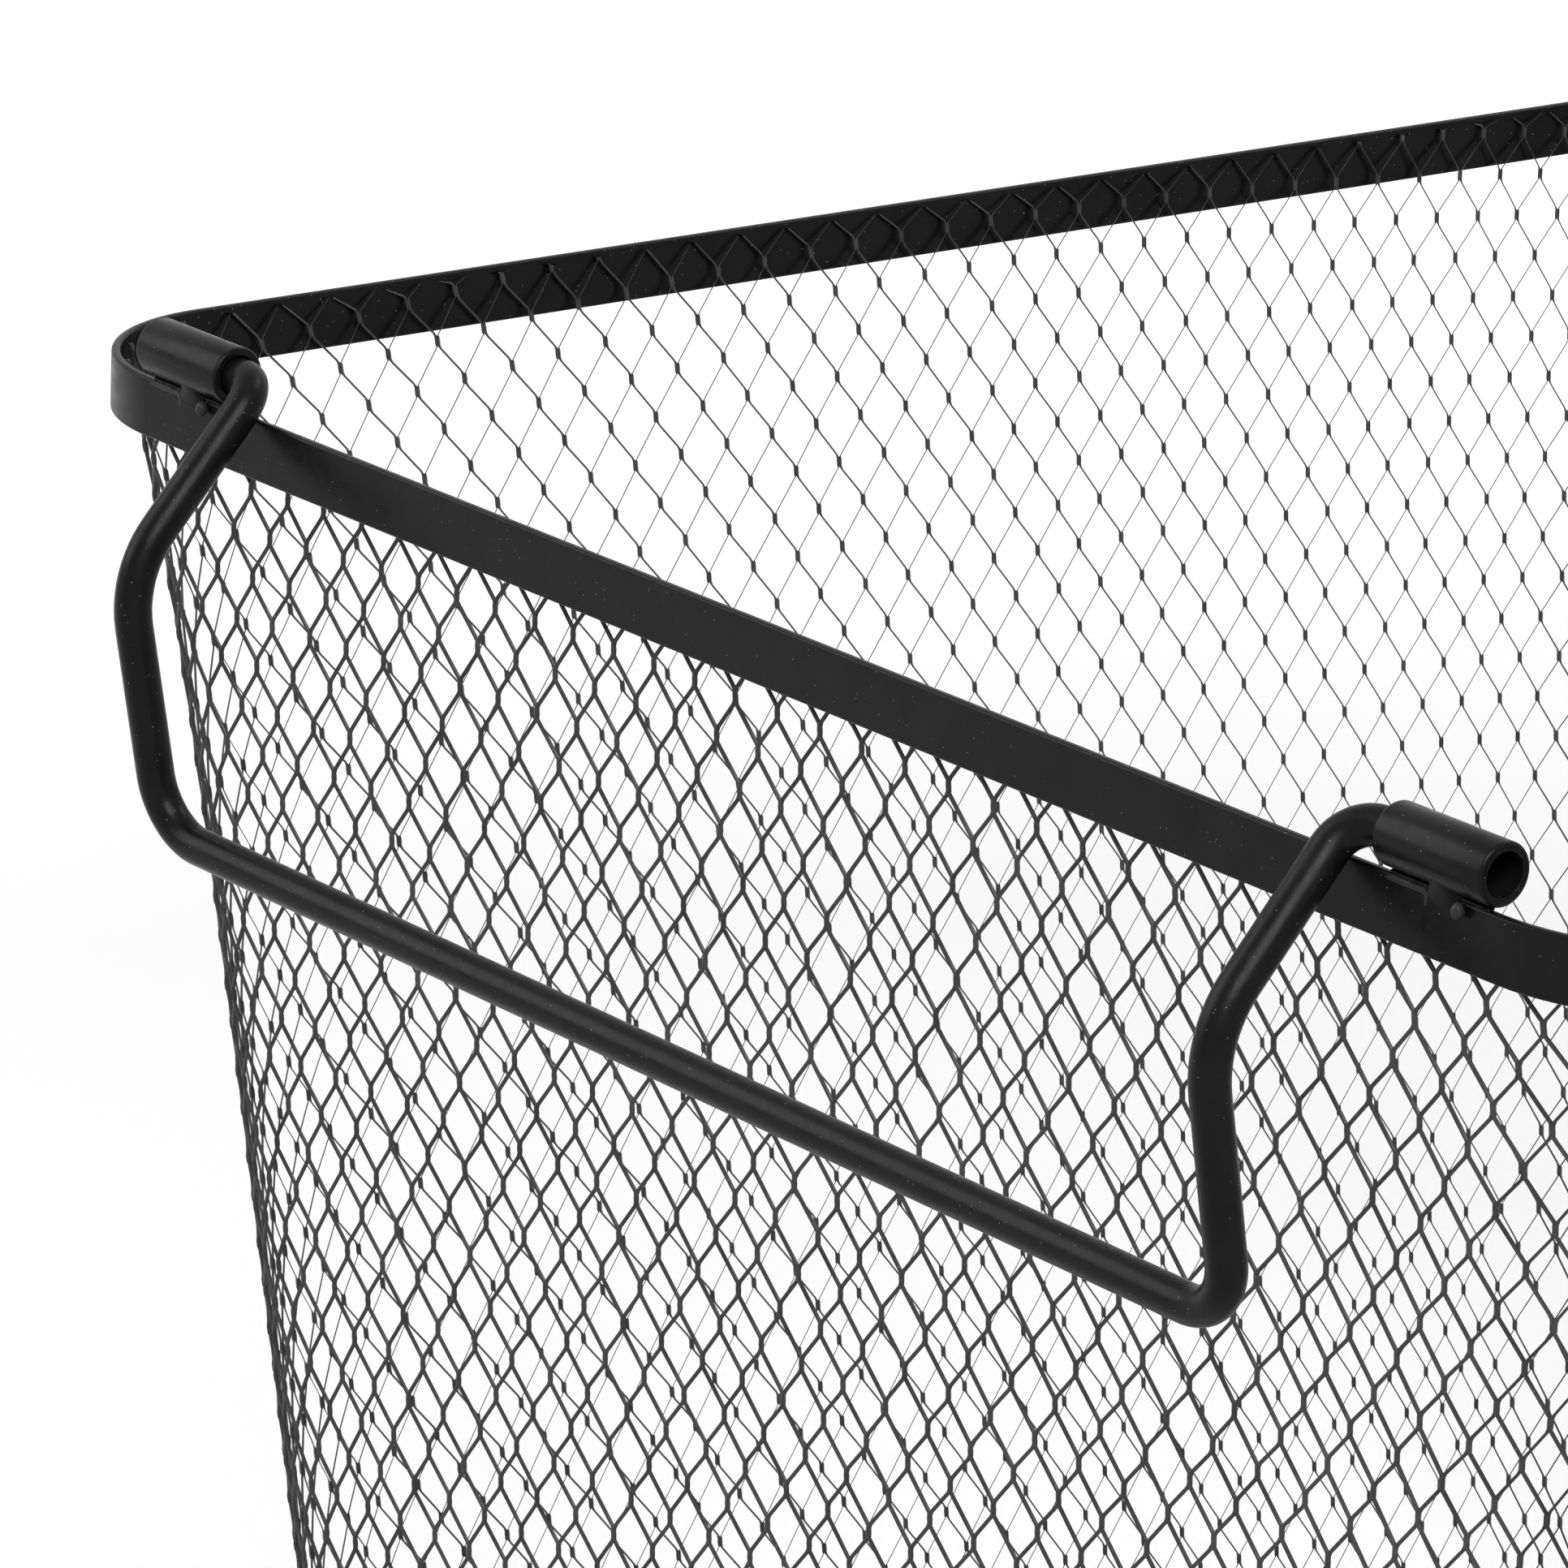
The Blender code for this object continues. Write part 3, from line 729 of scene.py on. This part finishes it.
def makeMark(centreX):
    # A flat run along the bar's top edge that turns down its face; its pale coat is a painted
    # highlight. Its section is an ellipse of the two sizes, carried along the path, drawn in at
    # both ends and swelled by two waves.
    left, right, across, down = weld["mark"]
    wide, proud = weld["markSize"]
    face = sleeve["axisInset"]
    top = basket["height"] - axisUp
    corners = [(left, 0, -across), (right, 0, -across), (right, 0, -down)]
    edgeSteps, bendSteps, downSteps = weld["markSteps"]
    path = roundedPath(corners, [weld["markBend"]], bendSteps)
    path = np.vstack([np.linspace(path[0], path[1], edgeSteps, endpoint=False), path[1:-1],
                      np.linspace(path[-2], path[-1], downSteps)[1:]])
    ahead = unit(np.gradient(path, axis=0))
    t = np.linspace(-1, 1, len(path))[:, None]
    size = drawnIn(t, *weld["markEnds"]) * swelled(t, weld["markWaves"])
    side = np.cross(ahead, (0, 1, 0))
    a = np.linspace(0, 2 * math.pi, weld["markSides"], endpoint=False)[None, :]
    flat = path[:, None, :] + side[:, None, :] * (size * wide * np.cos(a))[..., None]
    out = face + proud * size * np.sin(a)
    return np.stack([flat[..., 0] + centreX, out, flat[..., 2] + top], -1)


def makeBall(centre, radii):
    # Centre + radii times (-cos u, sin u cos v, -sin u sin v), with u from pole to pole and
    # v round the X axis. The last two are swelled by 1 + lump sin 3u cos(2v + 1).
    pole = weld["ballPole"]
    count, sides = weld["ballGrid"]
    u = np.linspace(pole, math.pi - pole, count)[:, None]
    v = np.linspace(0, 2 * math.pi, sides, endpoint=False)[None, :]
    lump = 1 + weld["ballLump"] * np.sin(3 * u) * np.cos(2 * v + 1)
    return np.stack([
        centre[0] - radii[0] * np.cos(u) + 0 * v,
        centre[1] + radii[1] * np.sin(u) * np.cos(v) * lump,
        centre[2] - radii[2] * np.sin(u) * np.sin(v) * lump,
    ], -1)


def placed(rings, facing):
    # Turns rings given as (x, out, up) from the sleeve's axis to a side, facing -1 or 1.
    points = rings.copy()
    points[..., 1] = facing * (rings[..., 1] + axisOut)
    points[..., 2] = rings[..., 2] + axisUp
    return points


def faced(faces, flip):
    # The faces with their corners the other way round, for a side that is a mirror image.
    return faces[:, ::-1] if flip else faces


def closedFaces(parts, flip):
    # Faces of several tubes in one mesh, each with a face on both of its ends.
    faceSets = []
    shift = 0
    for part in parts:
        count, sides = part.shape[:2]
        faceSets.append(faced(ringFaces(count, sides), flip) + shift)
        faceSets.append(faced(endCaps(count, sides), flip) + shift)
        shift += count * sides
    return faceSets


for facing, sideWord in ((-1, "front"), (1, "back")):
    for hand, handWord in ((-1, "left"), (1, "right")):
        tag = sideWord.title() + handWord.title()
        node = sideWord + "_" + handWord
        middleX = hand * sleeve["middle"]
        rings = placed(makeSleeve(middleX), facing)
        count, sides = rings.shape[:2]
        faces = faced(ringFaces(count, sides, True), facing > 0)
        addPiece("sleeve" + tag, rings.reshape(-1, 3), [faces], rimCoat, "basket",
                 ["sleeve_" + node])
        bead = placed(makeWeld(middleX), facing)
        spot = weld["ball"]
        ballPlace = (middleX + spot[0], sleeve["axisInset"] + spot[1],
                     basket["height"] - axisUp + spot[2])
        ball = placed(makeBall(ballPlace, weld["ballRadii"]), facing)
        seam = placed(makeSeam(middleX), facing)
        mark = placed(makeMark(middleX), facing)
        beadParts, markParts = (bead, seam), (mark, ball)
        # The bead takes the darker coat of painted shade, and the edge run and ball take the paler
        # coat of painted highlight.
        for word, coating, parts in (("Bead", weldPaintedShadeCoat, beadParts), ("Mark", markPaintedHighlightCoat, markParts)):
            points = np.vstack([part.reshape(-1, 3) for part in parts])
            addPiece("weld" + word + tag, points, closedFaces(parts, facing > 0), coating,
                     "basket", ["weld_bead_" + node])
        print("sleeve and weld", sideWord, handWord)


# handles
handle = {
    "radius": 0.0020,
    "mouth": 0.0900,  # the sleeve's inner end
    "legInset": 0.0050,
    "endDepth": 0.0080,
    "exit": 0.0005,
    "kneeReach": 0.0171,
    "kneeDrop": 0.0178,
    "gripReach": 0.0117,
    "gripDrop": 0.0464,
    "legTop": (0.00072, 0.00065),
    "bends": (0.0040, 0.0040, 0.0120, 0.0065),
    "bendSteps": 22,
    "sides": 32,
    "sideways": (0, 0.956, 0.292),  # a direction that no stretch of the wire runs along
}


handleCoat = coatMaterial("handleCoat", shade=0.7, peel=2.0)
leg = handle["mouth"] - handle["legInset"]
half = [
    (handle["mouth"] + handle["endDepth"], 0, 0),
    (handle["mouth"] - handle["exit"], 0, 0),
    (leg, *handle["legTop"]),
    (leg, handle["kneeReach"], -handle["kneeDrop"]),
    (leg, handle["gripReach"], -handle["gripDrop"]),
]
corners = half + [(-x, y, z) for x, y, z in reversed(half)]
bends = handle["bends"] + handle["bends"][::-1]
wirePath = roundedPath(corners, bends, handle["bendSteps"])
wire = tube(wirePath, handle["radius"], handle["sides"], handle["sideways"])
for facing, word in ((-1, "front"), (1, "back")):
    rings = placed(wire, facing)
    addPiece(word + "Handle", rings.reshape(-1, 3), closedFaces([rings], facing > 0),
             handleCoat, word + "_bail", [word + "_handle"])
    print("handle", word)


# floor, light and camera
studio = {
    "floorSize": 2.6,
    "floorColour": (0.60, 0.60, 0.60),
    "floorRoughness": 0.9,
    "floorGlow": (0.44, 1.0),  # its own light near the object and far off, only where it is seen
    "glowReach": (0.45, 1.4),  # distances between which that light grows
    "worldStrength": 0.12,
    "lamps": [  # place, aim, size, power
        ((-1.0, -1.0, 0.90), (0, 0, 0.1), 1.05, 12.0),
        ((0.95, -0.68, 1.22), (0, 0, 0.1), 0.90, 29.0),
        ((0.1, 1.1, 1.5), (0, 0, 0.15), 0.6, 5.0),
    ],
}


def seenRays(tree):
    # The largest of three shares: 1 for camera, glossy and transmission rays, 0 for others.
    rays = tree.nodes.new("ShaderNodeLightPath")
    total = rays.outputs["Is Camera Ray"]
    for key in ("Is Glossy Ray", "Is Transmission Ray"):
        node = tree.nodes.new("ShaderNodeMath")
        node.operation = "MAXIMUM"
        tree.links.new(total, node.inputs[0])
        tree.links.new(rays.outputs[key], node.inputs[1])
        total = node.outputs["Value"]
    return total


def makeFloor():
    # A level square of pale paper. It is lit, takes the shadow and adds a light of its own
    # where it is seen, which grows with the distance from the middle.
    s = studio["floorSize"] / 2
    floorMesh = bpy.data.meshes.new("floor")
    floorMesh.from_pydata([(-s, -s, 0), (s, -s, 0), (s, s, 0), (-s, s, 0)], [], [(0, 1, 2, 3)])
    floor = bpy.data.objects.new("floor", floorMesh)
    bpy.context.collection.objects.link(floor)
    material = bpy.data.materials.new("paper")
    material.use_nodes = True
    tree = material.node_tree
    shader = tree.nodes["Principled BSDF"]
    shader.inputs["Base Color"].default_value = (*studio["floorColour"], 1)
    shader.inputs["Roughness"].default_value = studio["floorRoughness"]
    shader.inputs["Specular IOR Level"].default_value = 0.0
    distance = tree.nodes.new("ShaderNodeVectorMath")
    distance.operation = "LENGTH"
    place = tree.nodes.new("ShaderNodeTexCoord").outputs["Object"]
    tree.links.new(place, distance.inputs[0])
    glow = tree.nodes.new("ShaderNodeMapRange")
    tree.links.new(distance.outputs["Value"], glow.inputs["Value"])
    for key, number in zip(rampInputs, studio["glowReach"] + studio["floorGlow"]):
        glow.inputs[key].default_value = number
    scaled = tree.nodes.new("ShaderNodeMath")
    scaled.operation = "MULTIPLY"
    tree.links.new(glow.outputs["Result"], scaled.inputs[1])
    tree.links.new(seenRays(tree), scaled.inputs[0])
    shader.inputs["Emission Color"].default_value = (1, 1, 1, 1)
    tree.links.new(scaled.outputs["Value"], shader.inputs["Emission Strength"])
    floorMesh.materials.append(material)


def makeWorld():
    # White to camera, glossy and transmission rays, a softer white to light the coating.
    world = bpy.data.worlds.new("studio")
    bpy.context.scene.world = world
    world.use_nodes = True
    tree = world.node_tree
    background = tree.nodes["Background"]
    background.inputs["Color"].default_value = (1, 1, 1, 1)
    level = tree.nodes.new("ShaderNodeMapRange")
    level.inputs["To Min"].default_value = studio["worldStrength"]
    level.inputs["To Max"].default_value = 1.0
    tree.links.new(seenRays(tree), level.inputs["Value"])
    tree.links.new(level.outputs["Result"], background.inputs["Strength"])


def axesMatrix(x, y, z, place):
    # The matrix whose columns are an object's three axes and its place.
    matrix = np.eye(4)
    matrix[:3] = np.stack([x, y, z, place], -1)
    return Matrix(matrix.tolist())


def aimAt(place, target):
    # The matrix that puts an object at a place with its -Z to the target and its X level.
    z = unit(np.array(place, float) - np.array(target, float))
    x = unit(np.cross((0, 0, 1), z))
    y = np.cross(z, x)
    return axesMatrix(x, y, z, place)


def makeLamps():
    # Square soft boxes, each turned to its aim.
    for number, (place, target, size, power) in enumerate(studio["lamps"]):
        light = bpy.data.lights.new("softbox" + str(number), "AREA")
        light.size = size
        light.energy = power
        lamp = bpy.data.objects.new(light.name, light)
        bpy.context.collection.objects.link(lamp)
        lamp.matrix_world = aimAt(place, target)


camera = {
    "place": (0.6585, -0.6593, 0.4504),
    "yaw": 50.81,  # degrees to the left of +Y
    "pitch": 17.47,  # degrees down
    "roll": -2.50,
    "lens": 209.09,  # in millimetres, as the sensor
    "sensor": 36,
    "nearest": 0.01,
}


def makeCamera():
    # Ahead is (-sin yaw cos pitch, cos yaw cos pitch, -sin pitch), right is level, and down
    # is square to both. The picture's own axes are right and down turned by the roll.
    yaw, pitch, roll = (math.radians(camera[key]) for key in ("yaw", "pitch", "roll"))
    level = math.cos(pitch)
    ahead = np.array([-math.sin(yaw) * level, math.cos(yaw) * level, -math.sin(pitch)])
    right = np.array([math.cos(yaw), math.sin(yaw), 0])
    down = np.cross(ahead, right)
    x = math.cos(roll) * right + math.sin(roll) * down
    y = math.sin(roll) * right - math.cos(roll) * down
    lens = bpy.data.cameras.new("camera")
    lens.lens = camera["lens"]
    lens.sensor_width = camera["sensor"]
    lens.clip_start = camera["nearest"]
    viewer = bpy.data.objects.new("camera", lens)
    bpy.context.collection.objects.link(viewer)
    viewer.matrix_world = axesMatrix(x, y, -ahead, camera["place"])
    bpy.context.scene.camera = viewer


makeFloor()
makeWorld()
makeLamps()
makeCamera()
bpy.context.scene.view_settings.view_transform = "Standard"
print("studio")
